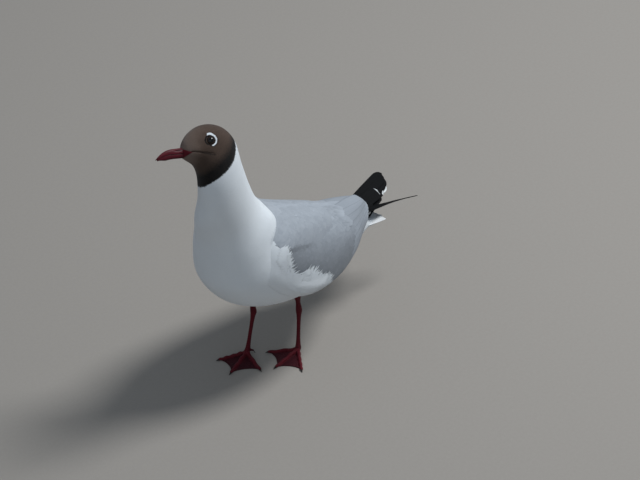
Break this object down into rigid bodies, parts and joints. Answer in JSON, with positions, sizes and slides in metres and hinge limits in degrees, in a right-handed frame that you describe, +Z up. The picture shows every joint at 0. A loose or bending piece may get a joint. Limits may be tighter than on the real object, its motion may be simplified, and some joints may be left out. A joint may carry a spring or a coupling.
{
  "type": "black-headed gull seagull figure",
  "caption": "Standing black-headed gull (seagull) in breeding plumage, life size, body facing forward, head turned a little to its right and tilted.",
  "frame": {"origin": "centre of the bounding box's footprint, on the floor under the feet", "axes": "+X the way the body faces, +Y the bird's left, +Z up"},
  "size_m": [0.3456, 0.108, 0.3043],
  "materials": {
    "hood_feathers": "soft chocolate-brown feathers",
    "white_feathers": "soft white feathers",
    "grey_feathers": "smooth pale blue-grey feathers",
    "black_feathers": "satin black flight feathers",
    "bill": "satin dark red horn",
    "leg_skin": "scaled dark red skin",
    "eye": "wet, very dark brown"
  },
  "bodies": {
    "root": {"head": "hood_feathers", "neck": "white_feathers", "trunk": "white_feathers", "tail": "white_feathers", "eye_left": "eye", "eye_right": "eye", "bill_upper": "bill", "bill_lower": "bill", "wing_left": "grey_feathers", "wing_right": "grey_feathers", "primaries_left": "black_feathers", "primaries_right": "black_feathers", "thigh_left": "leg_skin", "thigh_right": "leg_skin", "tarsus_left": "leg_skin", "tarsus_right": "leg_skin", "foot_left": "leg_skin", "foot_right": "leg_skin"}
  },
  "joints": []
}
